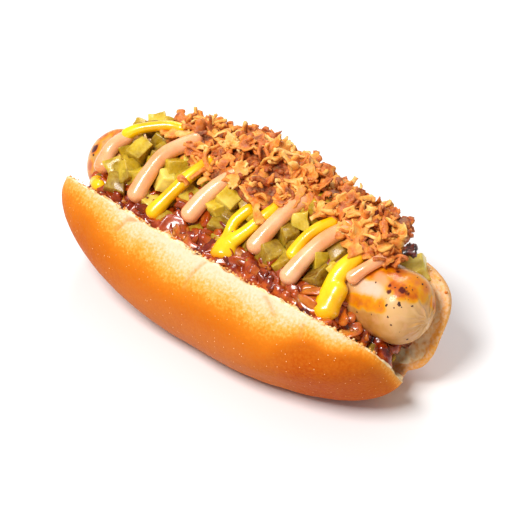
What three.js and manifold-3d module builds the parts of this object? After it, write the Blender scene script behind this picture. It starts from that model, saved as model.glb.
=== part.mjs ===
// A dressed hot dog: a side-split brioche bun lying on its hinge, a grilled sausage in its V,
// onion relish, diced pickles, strokes of mustard and pink sauce, and a heap of fried onions.
// Millimetres, +X along the bun towards the bare end of the sausage, +Y towards the thin half, +Z up.
// Pieces are drawn in the hinge frame: x from the bun's middle, y and z from the hinge line.
import * as THREE from "three";
import { mergeVertices } from "three/addons/utils/BufferGeometryUtils.js";
import Module from "manifold-3d";

const wasm = await Module();
wasm.setup();

// ---------- driving dimensions ----------
const CLEARANCE = 0.3; // gap between pieces that touch
const COARSE_CLEARANCE = 0.75; // the same, where a piece is cut by a neighbour drawn with fewer faces
const HINGE = { x: 1.4, y: 4.2, z: 5.1 }; // the hinge line's middle in the part's own frame

const BUN_LENGTH = 165;
const CUT_HEIGHT = 48.9; // of each half's cut face, from hinge to rim
const END_SQUARENESS = 4; // superellipse exponent of the cut face's outline
const DOME_ROUNDNESS = 2.1; // superellipse exponent of the domed outside
const THICK_HALF = { side: -1, thickness: 30.2, tilt: 33.7, bulge: 3, endTaper: 0.14 };
const THIN_HALF = { side: 1, thickness: 22.2, tilt: 30.6, bulge: 0, endTaper: 0 };
const RIM_WAVE = 0.5;
const FINE_BUN = [40, 10];
const COARSE_BUN = [40, 8];
const SPINE = { length: 152, width: 34, height: 11, y: -3, z: -1.6 }; // crumb that joins the halves

const SAUSAGE_RADIUS = 13.9;
const SAUSAGE_CAP = 11.6; // length of each rounded end
const SAUSAGE_START = new THREE.Vector3(-73.8, 1.2, 29.3); // centre of the far cap
const SAUSAGE_END = new THREE.Vector3(70.7, 4, 34);
const SAUSAGE_SAG = 2;
const SAUSAGE_BOW = 1;

const PICKLE_EDGE = 8.6;
const PICKLE_CORE_DROP = 4.2; // how far the heap's core lies below its surface
const PICKLE_DEPTH = 10; // from the heap's surface to the relish under it
const RELISH_LUMP = 3.2;
const FLAKE = { length: 9, width: 3.6, thickness: 1.3 };
const PINK_RADIUS = 3.3;
const MUSTARD_RADIUS = 2.7;
const COARSE_STROKE = { sides: 6, rings: 10 };

// Centre lines of the sauce strokes, from the rounded end by the thick half up to the fried onions.
const PINK_STROKES = [
  {
    points: [[-67, -15.5, 36.8], [-69, -10.5, 40.8], [-69, -6.6, 43.9], [-66.5, -3, 47], [-63.5, -0.8, 49]],
    radius: 2.9,
  },
  { points: [[-44, -21.5, 38], [-44.5, -13, 45], [-43.5, -2.5, 51.2], [-37.5, 11.5, 54]] },
  { points: [[-18.8, -18.8, 40.4], [-16.5, -8, 48.3], [-13.3, 1, 52.3], [-8.5, 17, 53.5]] },
  { points: [[13.8, -17.2, 41.5], [15.2, -7, 48.5], [16.5, 2.5, 52.5], [17.5, 11, 54]] },
  { points: [[33.5, -20.5, 39.3], [35.2, -11.5, 46.2], [37.5, -2, 51.2], [42, 10, 54]] },
  { points: [[54, -7.8, 43.9], [56.5, -4, 47.3], [58.5, 1, 49.3], [59.5, 8, 49.2]], radius: 2.4 },
];
const MUSTARD_STROKES = [
  {
    points: [[-67, -3.2, 47.8], [-62.5, 1, 51.4], [-57, 5.4, 53.2], [-52, 9.2, 53.8], [-46, 11, 54]],
    radius: 2.2,
  },
  { points: [[-34.2, -22.8, 36.3], [-31, -13, 44], [-28.5, -4.5, 49.3], [-26, 6, 53]], bulb: 1.15 },
  { points: [[5.4, -23.8, 35.4], [1.8, -16, 41.8], [2, -10, 45.9], [5, -3, 50]], bulb: 1.85 },
  { points: [[29.4, -12.5, 43.6], [29.6, -5.5, 48.3], [31.5, 1, 51.6], [35, 8.5, 53]], radius: 2.5 },
  { points: [[54, -21, 33], [50.2, -14, 39.2], [50, -6.5, 46], [52.2, 4, 49.8]], radius: 3.7, bulb: 1.3 },
];
const FORKED_STROKE = 2; // the mustard stroke that has a second arm
const MUSTARD_FORK = { points: [[3, -18, 40.5], [5.8, -11, 45.6], [8.4, -3, 50.6], [10, 3, 52.4]] };
const MUSTARD_BLOB = { points: [[-69.5, -15.5, 32], [-66, -18.6, 33.6], [-62, -19, 34.6]] };
const PICKLE_AT_END = new THREE.Vector3(63.5, 19.5, 38.5);

// Heights of the heaps' surfaces over y, and the changes along x.
const PICKLE_PROFILE = [[-24, 33.5], [-16, 40.3], [-8, 46], [0, 50], [8, 51.6], [16, 51], [24, 48]];
const PICKLE_END_DROP = { left: 3, right: 4 };
const ONION_PROFILE = [[-8, 49], [-2, 53], [6, 55.5], [14, 57], [20, 57], [26, 53.5], [31, 45.5]];
const ONION_RISE = [
  [-62, -6], [-45, -3], [-26, 1], [-10, 4], [4, 3.5], [14, 1], [35, 0.5], [55, -1.5], [76, -9],
];
// The heaps' near and far edges along x.
const PICKLE_HEAP = { x0: -66, x1: 51, near: -15, far: 20, stepX: 10.2, stepY: 9 };
const ONION_HEAP = { x0: -50, x1: 74, thickness: 4, flakeStart: -52, flakeEnd: 76, step: 9.1 };
const ONION_NEAR = [
  [-58, 16], [-50, 8], [-42, 3], [-15, -1], [8, -3], [20, 8], [36, 8], [48, 2], [62, 6], [76, 12],
];
const ONION_FAR = [[-60, 17], [-40, 25], [-10, 29], [45, 29], [64, 27], [76, 20]];
const RELISH_BED = { x0: -74, x1: 73, nearSlope: 0.66, farSlope: 0.645, embed: 4 };
const RELISH_NEAR = [[-74, 22], [-64, 33], [-20, 38], [45, 38], [58, 33], [66, 24], [73, 12]];
const LUMP_ROWS = { x0: -69, x1: 72, stepX: 8, y0: -26, y1: -20, stepY: 4.6 };

const COLOURS = {
  bun: 0xe59a4c,
  sausage: 0xe3bf94,
  relish: 0x7a2e12,
  pickle: 0x9c9a3a,
  mustard: 0xf2c50c,
  pink: 0xf0a878,
  onions: 0xc97a35,
};

// ---------- small tools ----------
const degrees = THREE.MathUtils.degToRad;
const mix = THREE.MathUtils.lerp;
const smooth = THREE.MathUtils.smoothstep;
const bow = (x, reach) => Math.max(0, 1 - (x / reach) ** 2);
const signedPower = (v, p) => Math.sign(v) * Math.abs(v) ** p;

function seededRandom(seed) {
  let state = seed;
  return () => {
    state = (state + 0x6d2b79f5) | 0;
    let t = Math.imul(state ^ (state >>> 15), 1 | state);
    t = (t + Math.imul(t ^ (t >>> 7), 61 | t)) ^ t;
    return ((t ^ (t >>> 14)) >>> 0) / 4294967296;
  };
}

// A profile given by a few [position, value] pairs, joined by straight lines.
function along(profile, v) {
  const next = profile.findIndex(([at]) => at > v);
  if (next === 0) return profile[0][1];
  if (next < 0) return profile[profile.length - 1][1];
  const [a, low] = profile[next - 1];
  const [b, high] = profile[next];
  return mix(low, high, (v - a) / (b - a));
}

function moveVertices(geometry, move) {
  const position = geometry.getAttribute("position");
  const v = new THREE.Vector3();
  for (let i = 0; i < position.count; i++) {
    move(v.fromBufferAttribute(position, i));
    position.setXYZ(i, v.x, v.y, v.z);
  }
  return geometry;
}

function toSolid(geometry) {
  geometry.deleteAttribute("normal");
  geometry.deleteAttribute("uv");
  const merged = mergeVertices(geometry, 1e-4);
  const triVerts = new Uint32Array(merged.index.array);
  const vertProperties = merged.attributes.position.array;
  const build = () => new wasm.Manifold(new wasm.Mesh({ numProp: 3, vertProperties, triVerts }));
  const solid = build();
  if (solid.volume() > 0) return solid;
  for (let i = 0; i < triVerts.length; i += 3) {
    [triVerts[i + 1], triVerts[i + 2]] = [triVerts[i + 2], triVerts[i + 1]];
  }
  return build();
}

const join = (solids) => wasm.Manifold.union(solids);

// The largest body of a solid, without loose scraps or sealed hollows.
function mainBody(solid) {
  return solid.decompose().reduce((best, s) => (s.volume() > best.volume() ? s : best));
}

const carve = (solid, ...cutters) => mainBody(cutters.reduce((left, c) => left.subtract(c), solid));

function toMesh(name, solid, colour, roughness) {
  const { vertProperties, triVerts } = solid.getMesh();
  const geometry = new THREE.BufferGeometry();
  geometry.setAttribute("position", new THREE.BufferAttribute(vertProperties, 3));
  geometry.setIndex(new THREE.BufferAttribute(triVerts, 1));
  geometry.computeVertexNormals();
  const material = new THREE.MeshStandardMaterial({ color: colour, roughness, metalness: 0 });
  const mesh = new THREE.Mesh(geometry, material);
  mesh.name = name;
  return mesh;
}

// A round-ended strand along a curve. Its radius may change, and across lies in the given direction.
function strand({ curve, radiusAt, across, cap, sides = 8, rings = 10, grow = 0 }) {
  const geometry = new THREE.SphereGeometry(1, sides, rings);
  const length = curve.getLength();
  const corner = grow > 0 ? Math.cos(Math.PI / sides) : 1; // a cutter's flat sides clear the round
  const capShare = Math.min(0.4, cap / length);
  const capRings = 0.25; // share of the rings that shape each end
  return moveVertices(geometry, (v) => {
    const ring = Math.acos(THREE.MathUtils.clamp(v.y, -1, 1)) / Math.PI;
    const turn = Math.atan2(v.z, v.x);
    let at = mix(capShare, 1 - capShare, (ring - capRings) / (1 - 2 * capRings));
    let full = 1;
    const fromEnd = Math.min(ring, 1 - ring);
    if (fromEnd < capRings) {
      const lift = (fromEnd / capRings) * (Math.PI / 2);
      const inset = capShare * (1 - Math.cos(lift));
      at = ring < 0.5 ? inset : 1 - inset;
      full = Math.sin(lift);
    }
    const centre = curve.getPointAt(at);
    const tangent = curve.getTangentAt(at);
    const u = across.clone().addScaledVector(tangent, -across.dot(tangent)).normalize();
    const w = tangent.clone().cross(u);
    const r = ((radiusAt(at) + grow) / corner) * full;
    const end = at < 0.5 ? -1 : 1;
    const stretch = fromEnd < capRings ? grow * Math.cos((fromEnd / capRings) * (Math.PI / 2)) : 0;
    v.copy(centre)
      .addScaledVector(u, r * Math.cos(turn))
      .addScaledVector(w, r * Math.sin(turn))
      .addScaledVector(tangent, end * stretch);
  });
}

// ---------- forms that carry one another ----------
function sausageAxis(x) {
  const span = SAUSAGE_END.x - SAUSAGE_START.x;
  const t = THREE.MathUtils.clamp((x - SAUSAGE_START.x) / span, 0, 1);
  const middle = 4 * t * (1 - t);
  const y = mix(SAUSAGE_START.y, SAUSAGE_END.y, t) - SAUSAGE_BOW * middle;
  const z = mix(SAUSAGE_START.z, SAUSAGE_END.z, t) - SAUSAGE_SAG * middle;
  return new THREE.Vector3(x, y, z);
}

function pickleTop(x, y) {
  const endDrop = PICKLE_END_DROP.left * smooth(-x, 52, 66) + PICKLE_END_DROP.right * smooth(x, 40, 54);
  return along(PICKLE_PROFILE, y) - endDrop;
}
const onionTop = (x, y) => along(ONION_PROFILE, y) + along(ONION_RISE, x);

// A slab between two height functions, over x0..x1 and near(x)..far(x).
function slab({ x0, x1, near, far, low, high, columns, rows, grow = 0 }) {
  const geometry = new THREE.BoxGeometry(1, 1, 1, columns, rows, 1);
  return moveVertices(geometry, (v) => {
    const x = mix(x0, x1, v.x + 0.5);
    const y = mix(near(x), far(x), v.y + 0.5);
    const z = v.z > 0 ? high(x, y) + grow : low(x, y) - grow;
    v.set(x + 2 * grow * v.x, y + 2 * grow * v.y, z);
  });
}

// ---------- bun ----------
// How far the lower edge of a cut face has risen from the hinge line at x, towards the ends.
function edgeRise(x) {
  const end = Math.min(1, Math.abs(x) / (BUN_LENGTH / 2));
  return (CUT_HEIGHT / 2) * (1 - (1 - end ** END_SQUARENESS) ** (1 / END_SQUARENESS));
}

function bunHalf({ side, thickness, tilt, bulge, endTaper }, grow, faces) {
  const geometry = new THREE.SphereGeometry(1, ...faces);
  const sin = Math.sin(degrees(tilt));
  const cos = Math.cos(degrees(tilt));
  return moveVertices(geometry, (v) => {
    const flat = Math.hypot(v.x, v.z);
    const [ca, sa] = flat < 1e-6 ? [1, 0] : [v.x / flat, v.z / flat];
    const n = END_SQUARENESS;
    const reach = (Math.abs(ca) ** n + Math.abs(sa) ** n) ** (-1 / n) * flat ** (2 / DOME_ROUNDNESS);
    const x = (BUN_LENGTH / 2 + grow) * reach * ca;
    const end = Math.abs(x) / (BUN_LENGTH / 2);
    const wave = RIM_WAVE * Math.sin(x / 9) * Math.max(0, sa);
    const h = CUT_HEIGHT / 2 + (CUT_HEIGHT / 2 + grow) * reach * sa + wave;
    const taper = 1 - endTaper * end ** 4;
    const dome = (thickness * taper + grow) * signedPower(Math.max(0, v.y), 2 / DOME_ROUNDNESS);
    const w = v.y > 0 ? dome - grow * (1 - v.y) : -grow;
    const out = bulge * (h / CUT_HEIGHT) ** 2 * bow(x, BUN_LENGTH / 2);
    v.set(x, side * (h * sin + w * cos + out), h * cos - w * sin);
  });
}

function bunSpine(grow) {
  const { length, width, height, y, z } = SPINE;
  const geometry = new THREE.SphereGeometry(1, 28, 8);
  return moveVertices(geometry, (v) => {
    const x = (length / 2 + grow) * signedPower(v.x, 0.7);
    const middle = { y: y * (1 - v.x ** 2), z: z + 0.9 * edgeRise(x) };
    v.set(x, middle.y + (width / 2 + grow) * v.z, middle.z + (height / 2 + grow) * v.y);
  });
}

function bunSolid(grow, faces) {
  const halves = [THICK_HALF, THIN_HALF].map((half) => toSolid(bunHalf(half, grow, faces)));
  return join([...halves, toSolid(bunSpine(grow))]);
}

function floorCutter() {
  const depth = 40;
  const box = new THREE.BoxGeometry(2 * BUN_LENGTH, BUN_LENGTH, depth);
  return toSolid(box.translate(0, 0, -depth / 2 - HINGE.z));
}

// ---------- sausage ----------
function sausageSolid(grow = 0) {
  const tips = [SAUSAGE_START.x - SAUSAGE_CAP, SAUSAGE_END.x + SAUSAGE_CAP];
  const stations = Array.from({ length: 9 }, (_, i) => sausageAxis(mix(...tips, i / 8)));
  return toSolid(
    strand({
      curve: new THREE.CatmullRomCurve3(stations),
      radiusAt: () => SAUSAGE_RADIUS,
      across: new THREE.Vector3(0, 1, 0),
      cap: SAUSAGE_CAP,
      sides: 22,
      rings: 15,
      grow,
    }),
  );
}

// ---------- sauces ----------
function strokeSolid({ points, radius, bulb = 1.12 }, usualRadius, grow = 0, faces = {}) {
  const r = radius ?? usualRadius;
  return toSolid(
    strand({
      curve: new THREE.CatmullRomCurve3(points.map((p) => new THREE.Vector3(...p))),
      radiusAt: (t) => r * mix(bulb, 0.94, smooth(t, 0.08, 0.45)),
      across: new THREE.Vector3(1, 0, 0),
      cap: r,
      grow,
      ...faces,
    }),
  );
}

// ---------- heaps ----------
function pickleDie(centre, edge, random, grow = 0) {
  const size = [0, 1, 2].map(() => edge * mix(0.82, 1.12, random()) + 2 * grow);
  const turn = new THREE.Euler(mix(-0.5, 0.5, random()), mix(-0.5, 0.5, random()), 3 * random());
  const box = new THREE.BoxGeometry(...size);
  box.applyMatrix4(new THREE.Matrix4().makeRotationFromEuler(turn));
  return toSolid(box.translate(centre.x, centre.y, centre.z));
}

// The dice that show lie in front of the fried onions. Under those the heap is smooth.
function pickleHeap(grow = 0) {
  const { x0, x1, near, far, stepX, stepY } = PICKLE_HEAP;
  const random = seededRandom(11);
  const pieces = [
    toSolid(
      slab({
        x0,
        x1,
        near: () => near,
        far: () => far,
        low: (x, y) => pickleTop(x, y) - PICKLE_DEPTH,
        high: (x, y) => pickleTop(x, y) - PICKLE_CORE_DROP,
        columns: 7,
        rows: 3,
        grow,
      }),
    ),
  ];
  for (let x = x0 + 3; x <= x1 - 1; x += stepX) {
    for (let y = near + 2.5; y <= along(ONION_NEAR, x) + 1; y += stepY) {
      const at = new THREE.Vector3(x + mix(-2, 2, random()), y + mix(-1.5, 1.5, random()), 0);
      at.z = pickleTop(at.x, at.y) - PICKLE_CORE_DROP + mix(-0.4, 0.9, random());
      pieces.push(pickleDie(at, PICKLE_EDGE, random, grow));
    }
  }
  return join(pieces);
}

function onionFlake(centre, random) {
  const long = FLAKE.length * mix(0.7, 1.4, random());
  const wide = FLAKE.width * mix(0.7, 1.4, random());
  const curl = mix(-0.2, 0.2, random());
  const box = new THREE.BoxGeometry(long, wide, FLAKE.thickness, 2, 1, 1);
  moveVertices(box, (v) => v.set(v.x, v.y, v.z + curl * (v.x ** 2 / 4 - 2)));
  const turn = new THREE.Euler(mix(-0.9, 0.9, random()), mix(-0.7, 0.7, random()), 6.3 * random());
  box.applyMatrix4(new THREE.Matrix4().makeRotationFromEuler(turn));
  return toSolid(box.translate(centre.x, centre.y, centre.z));
}

function onionHeap() {
  const { x0, x1, thickness, flakeStart, flakeEnd, step } = ONION_HEAP;
  const random = seededRandom(5);
  const floor = (x, y) => pickleTop(x, y) - PICKLE_CORE_DROP - 1; // below the dice, which cut it
  const pieces = [
    toSolid(
      slab({
        x0,
        x1,
        near: (x) => along(ONION_NEAR, x) + 1.5,
        far: (x) => along(ONION_FAR, x) - 0.5,
        low: (x, y) => Math.min(floor(x, y), onionTop(x, y) - thickness),
        high: (x, y) => onionTop(x, y) - 2,
        columns: 12,
        rows: 5,
      }),
    ),
  ];
  for (let x = flakeStart; x <= flakeEnd; x += step) {
    const [near, far] = [along(ONION_NEAR, x), along(ONION_FAR, x)];
    for (let y = near; y <= far; y += step) {
      const at = new THREE.Vector3(x + mix(-3, 3, random()), y + mix(-2, 2, random()), 0);
      at.z = onionTop(at.x, at.y) - 0.8 + mix(-0.6, 1.4, random());
      pieces.push(onionFlake(at, random));
    }
  }
  return join(pieces);
}

// A surface just below the two cut faces of the bun.
function cutFaces(x, y) {
  const tilt = y < 0 ? THICK_HALF.tilt : THIN_HALF.tilt;
  return Math.abs(y) / Math.tan(degrees(tilt)) - RELISH_BED.embed;
}

// The bed under and round the sausage. Its lumps show between the thick half's rim and the dice.
function relishTop(x, y) {
  const free = along(RELISH_NEAR, x) + 0.34 * (Math.min(y, 0) + 20) - 0.3 * Math.max(0, y - 4);
  const covered = x > -64 && x < 54 && y > -18;
  return covered ? Math.min(free, pickleTop(x, y) - PICKLE_DEPTH - CLEARANCE) : free;
}

function relishBed(grow = 0) {
  const { x0, x1, nearSlope, farSlope } = RELISH_BED;
  const random = seededRandom(3);
  const pieces = [
    toSolid(
      slab({
        x0,
        x1,
        near: (x) => -nearSlope * along(RELISH_NEAR, x),
        far: (x) => farSlope * along(RELISH_NEAR, x),
        low: cutFaces,
        high: relishTop,
        columns: 10,
        rows: 5,
        grow,
      }),
    ),
  ];
  for (let x = LUMP_ROWS.x0; x <= LUMP_ROWS.x1; x += LUMP_ROWS.stepX) {
    for (let y = LUMP_ROWS.y0; y <= LUMP_ROWS.y1; y += LUMP_ROWS.stepY) {
      const r = RELISH_LUMP * mix(0.75, 1.3, random()) + grow;
      const lump = new THREE.IcosahedronGeometry(r, 0);
      const place = [x + mix(-2, 2, random()), y + mix(-1.5, 1.5, random())];
      lump.rotateZ(3 * random()).scale(1.3, 1, 0.8);
      pieces.push(toSolid(lump.translate(...place, relishTop(...place) + mix(-1, 0.4, random()))));
    }
  }
  return join(pieces);
}

// ---------- the hot dog ----------
const grownSausage = sausageSolid(CLEARANCE);
const carriers = [bunSolid(COARSE_CLEARANCE, COARSE_BUN), grownSausage];
const bun = carve(bunSolid(0, FINE_BUN), grownSausage, floorCutter());

const drawPink = (...style) => PINK_STROKES.map((s) => strokeSolid(s, PINK_RADIUS, ...style));
const drawMustard = (...style) => {
  const draw = (s) => strokeSolid(s, MUSTARD_RADIUS, ...style);
  const strokes = MUSTARD_STROKES.map(draw);
  strokes[FORKED_STROKE] = join([strokes[FORKED_STROKE], draw(MUSTARD_FORK)]);
  return [...strokes, draw(MUSTARD_BLOB)];
};
const coarse = [CLEARANCE, COARSE_STROKE];
const sauces = [join([...drawPink(...coarse), ...drawMustard(...coarse)])];
const mustard = drawMustard().map((s) => carve(s, ...carriers, join(drawPink(...coarse))));
const pink = drawPink().map((s) => carve(s, ...carriers));

const relish = carve(relishBed(), ...carriers, ...sauces);
const pickles = carve(pickleHeap(), ...carriers, ...sauces, relishBed(COARSE_CLEARANCE));
const drawEndPickle = (grow) => pickleDie(PICKLE_AT_END, PICKLE_EDGE, seededRandom(2), grow);
const endPickle = carve(drawEndPickle(0), ...carriers);
const onions = carve(onionHeap(), ...carriers, ...sauces, pickleHeap(CLEARANCE), drawEndPickle(CLEARANCE));

const group = new THREE.Group();
group.name = "hot_dog";
group.position.set(HINGE.x, HINGE.y, HINGE.z);
group.add(
  toMesh("bun", bun, COLOURS.bun, 0.6),
  toMesh("sausage", sausageSolid(), COLOURS.sausage, 0.35),
  toMesh("onion_relish", relish, COLOURS.relish, 0.3),
  toMesh("pickle_dice", pickles, COLOURS.pickle, 0.35),
  toMesh("pickle_die_end", endPickle, COLOURS.pickle, 0.35),
  ...mustard.map((s, i) => toMesh(`mustard_${i + 1}`, s, COLOURS.mustard, 0.25)),
  ...pink.map((s, i) => toMesh(`pink_sauce_${i + 1}`, s, COLOURS.pink, 0.3)),
  toMesh("fried_onions", onions, COLOURS.onions, 0.7),
);

export default group;
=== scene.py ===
"""A dressed hot dog: a side-split brioche bun lying on its hinge, a grilled sausage in its V,
onion relish, diced pickles, strokes of mustard and pink sauce, and a heap of fried onions.

Pieces are drawn in millimetres in the hinge frame: x from the bun's middle, y and z from the
hinge line. finished() moves them to the part's own frame, in metres.
"""

import math
import random

import bmesh
import bpy
from mathutils import Euler, Matrix, Vector, noise


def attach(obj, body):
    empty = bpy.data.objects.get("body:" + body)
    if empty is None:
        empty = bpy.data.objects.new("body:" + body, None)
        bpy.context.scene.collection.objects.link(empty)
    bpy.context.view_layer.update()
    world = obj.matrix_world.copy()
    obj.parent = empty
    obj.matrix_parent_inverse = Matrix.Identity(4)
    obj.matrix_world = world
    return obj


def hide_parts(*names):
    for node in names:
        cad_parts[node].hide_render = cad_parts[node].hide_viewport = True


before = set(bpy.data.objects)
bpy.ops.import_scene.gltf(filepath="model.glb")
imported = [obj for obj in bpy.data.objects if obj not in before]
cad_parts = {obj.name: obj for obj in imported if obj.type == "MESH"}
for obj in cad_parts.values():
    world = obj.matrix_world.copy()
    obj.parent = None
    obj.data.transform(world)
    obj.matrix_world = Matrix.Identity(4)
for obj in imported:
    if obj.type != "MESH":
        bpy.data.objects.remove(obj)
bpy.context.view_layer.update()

MM = 0.001
HINGE = Vector((1.4, 4.2, 5.1))  # the hinge line's middle in the part's own frame

# ---------- driving dimensions, the same as the solids' ----------
BUN_LENGTH = 165
CUT_HEIGHT = 48.9  # of each half's cut face, from hinge to rim
END_SQUARENESS = 4
DOME_ROUNDNESS = 2.1
RIM_WAVE = 0.5
THICK_HALF = dict(side=-1, thickness=30.2, tilt=math.radians(33.7), bulge=3, end_taper=0.14)
THIN_HALF = dict(side=1, thickness=22.2, tilt=math.radians(30.6), bulge=0, end_taper=0)
SPINE = dict(length=152, width=34, height=11, y=-3, z=-1.6)
BUN_VOXEL = 0.85
BUN_CLEARANCE = 0.25  # room round the sausage
RIM_CRUMBS = ((THICK_HALF, 300), (THIN_HALF, 110))

SAUSAGE_RADIUS = 13.9
SAUSAGE_CAP = 11.6
SAUSAGE_START = Vector((-73.8, 1.2, 29.3))
SAUSAGE_END = Vector((70.7, 4, 34))
SAUSAGE_SAG = 2
SAUSAGE_BOW = 1

PICKLE_EDGE = 7.6
PINK_RADIUS = 3.3
MUSTARD_RADIUS = 2.7
SAUCE_VOXEL = 0.3
SAUCE_SMOOTHING = 30

JAM_VOXEL = 0.75
JAM_CLEARANCE = 0.1
JAM_LIFTED_BELOW = 5  # above the sausage's axis by more, the jam is left alone
LOWEST_RELISH = 8
RELISH_STRIPS = 150

DICE_TRIES = 2600
DICE_GAP = 6.4  # between middles
ONIONS = 620
ONIONS_BELOW = 380  # the first ones, under the others
ONIONS_COARSE = 430  # the first ones, with fewer faces
HEART_VOXEL = 1.2
SPECK_SHARPNESS = 12.0

PICKLE_PROFILE = ((-24, 33.5), (-16, 40.3), (-8, 46), (0, 50), (8, 51.6), (16, 51), (24, 48))
PICKLE_END_DROP = dict(left=3, right=4)
ONION_PROFILE = ((-8, 49), (-2, 53), (6, 55.5), (14, 57), (20, 57), (26, 53.5), (31, 45.5))
ONION_RISE = ((-62, -6), (-45, -3), (-26, 1), (-10, 4), (4, 3.5), (14, 1), (35, 0.5), (55, -1.5), (76, -9))
ONION_NEAR = (
    (-58, 16), (-50, 8), (-42, 3), (-15, -1), (8, -3), (20, 8), (36, 8), (48, 2), (62, 6), (76, 12),
)
ONION_FAR = ((-60, 17), (-40, 25), (-10, 29), (45, 29), (56, 25), (67, 17))
RELISH_NEAR = ((-74, 22), (-64, 33), (-20, 38), (45, 38), (52, 35), (58, 27), (65, 18), (73, 11))

PINK_STROKES = (
    dict(
        points=(
            (-67, -15.5, 36.8), (-69, -10.5, 40.8), (-69, -6.6, 43.9), (-66.5, -3, 47), (-63.5, -0.8, 49),
        ),
        radius=3.1, bulb=1.25,
    ),
    dict(points=((-44, -21.5, 38), (-44.5, -13, 45), (-43.5, -2.5, 51.2), (-37.5, 11.5, 54))),
    dict(points=((-18.8, -18.8, 40.4), (-16.5, -8, 48.3), (-13.3, 1, 52.3), (-8.5, 17, 53.5))),
    dict(points=((13.8, -17.2, 41.5), (15.2, -7, 48.5), (16.5, 2.5, 52.5), (17.5, 11, 54))),
    dict(points=((33.5, -20.5, 39.3), (35.2, -11.5, 46.2), (37.5, -2, 51.2), (42, 10, 54))),
    dict(points=((54, -7.8, 43.9), (56.5, -4, 47.3), (58.5, 1, 49.3), (59.5, 8, 49.2)), radius=2.4),
)
MUSTARD_STROKES = (
    dict(
        points=((-67, -3.2, 47.8), (-62.5, 1, 51.4), (-57, 5.4, 53.2), (-52, 9.2, 53.8), (-46, 11, 54)),
        radius=2.2,
    ),
    dict(points=((-34.2, -22.8, 36.3), (-31, -13, 44), (-28.5, -4.5, 49.3), (-26, 6, 53)), bulb=1.15),
    dict(
        points=((4.4, -22.8, 35.4), (1.4, -16, 41.6), (0.2, -10.5, 45.6), (3, -3, 50)),
        radius=2.5, bulb=2.1,
    ),
    dict(points=((29.4, -12.5, 43.6), (29.6, -5.5, 48.3), (31.5, 1, 51.6), (35, 8.5, 53)), radius=2.5),
    dict(points=((54, -21, 33), (50.2, -14, 39.2), (50, -6.5, 46), (52.2, 4, 49.8)), radius=3.7, bulb=1.3),
)
FORKED_STROKE = 2
MUSTARD_FORK = dict(points=((3.4, -18, 40.3), (7.4, -11.5, 45.4), (10.2, -4, 50), (12, 3, 52.4)), radius=2.5)
WEBS = {  # where a stroke spread out: added to the stroke of that place in the row
    2: dict(points=((5, -22, 36), (3.6, -19.5, 38.4), (3.2, -16.5, 40.8)), radius=4.5),
    4: dict(points=((53.8, -20.3, 33.8), (52.8, -15, 38.6), (52.6, -9, 44)), radius=4.3),
}
MUSTARD_BLOB = dict(points=((-69.5, -15.5, 32), (-66, -18.6, 33.6), (-62, -19, 34.6)))
PICKLE_AT_END = Vector((63.5, 19.5, 38.5))


# ---------- small tools ----------
def mix(a, b, t):
    return a + (b - a) * t


def clamp(v, low=0.0, high=1.0):
    return min(high, max(low, v))


def smooth(v, low, high):
    t = clamp((v - low) / (high - low))
    return t * t * (3 - 2 * t)


def signed_power(v, p):
    return math.copysign(abs(v) ** p, v)


def bow(x, reach):
    return max(0.0, 1 - (x / reach) ** 2)


def along(profile, v):
    """A profile of [position, value] pairs, joined by straight lines."""
    if v <= profile[0][0]:
        return profile[0][1]
    for (a, low), (b, high) in zip(profile, profile[1:]):
        if v <= b:
            return mix(low, high, (v - a) / (b - a))
    return profile[-1][1]


def lumps(p, size, seed=0.0):
    """Smooth noise from about -1 to 1, with lumps of about the given size."""
    return noise.noise(p / size + Vector((seed, 2 * seed, 3 * seed)))


def new_object(name, bm):
    mesh = bpy.data.meshes.new(name)
    bm.to_mesh(mesh)
    bm.free()
    piece = bpy.data.objects.new(name, mesh)
    bpy.context.scene.collection.objects.link(piece)
    return piece


def closed(name, bm):
    """A new object from closed shells, with their faces turned outwards."""
    bmesh.ops.recalc_face_normals(bm, faces=bm.faces)
    return new_object(name, bm)


def template(name, build):
    """A small mesh that many pieces start from."""
    bm = bmesh.new()
    build(bm)
    mesh = bpy.data.meshes.new(name)
    bm.to_mesh(mesh)
    bm.free()
    return mesh


def add_copy(bm, mesh):
    """Adds a template to a mesh being built and gives back its new vertices."""
    first = len(bm.verts)
    bm.from_mesh(mesh)
    bm.verts.ensure_lookup_table()
    return bm.verts[first:]


SPHERES = {}


def sphere(sides, rings):
    """A unit sphere with its poles on z, made once for each number of faces."""
    if (sides, rings) not in SPHERES:
        SPHERES[sides, rings] = template(
            f"sphere_{sides}_{rings}",
            lambda bm: bmesh.ops.create_uvsphere(bm, u_segments=sides, v_segments=rings, radius=1),
        )
    return SPHERES[sides, rings]


def add_ball(bm, mesh, centre, radii, turn=None):
    """A ball, stretched and turned, at a place."""
    matrix = turn.to_matrix() if turn else Matrix.Identity(3)
    verts = add_copy(bm, mesh)
    for v in verts:
        v.co = centre + matrix @ Vector([c * r for c, r in zip(v.co, radii)])
    return verts


def apply_modifiers(piece):
    depsgraph = bpy.context.evaluated_depsgraph_get()
    mesh = bpy.data.meshes.new_from_object(piece.evaluated_get(depsgraph))
    old = piece.data
    piece.modifiers.clear()
    piece.data = mesh
    mesh.name = piece.name
    bpy.data.meshes.remove(old)


def fuse(piece, voxel, smoothing=0):
    """Joins the overlapping closed shells of a piece into one skin."""
    remesh = piece.modifiers.new("fuse", "REMESH")
    remesh.mode = "VOXEL"
    remesh.voxel_size = voxel
    if smoothing:
        soften = piece.modifiers.new("soften", "SMOOTH")
        soften.factor = 0.5
        soften.iterations = smoothing
    apply_modifiers(piece)
    return piece


def finished(piece, material, nodes=()):
    """Moves a piece to the part's frame and fixes it to the frame."""
    mesh = piece.data
    mesh.transform(Matrix.Scale(MM, 4) @ Matrix.Translation(HINGE))
    mesh.shade_smooth()
    mesh.materials.clear()
    mesh.materials.append(material)
    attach(piece, "root")
    if nodes:
        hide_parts(*nodes)
    return piece


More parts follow.
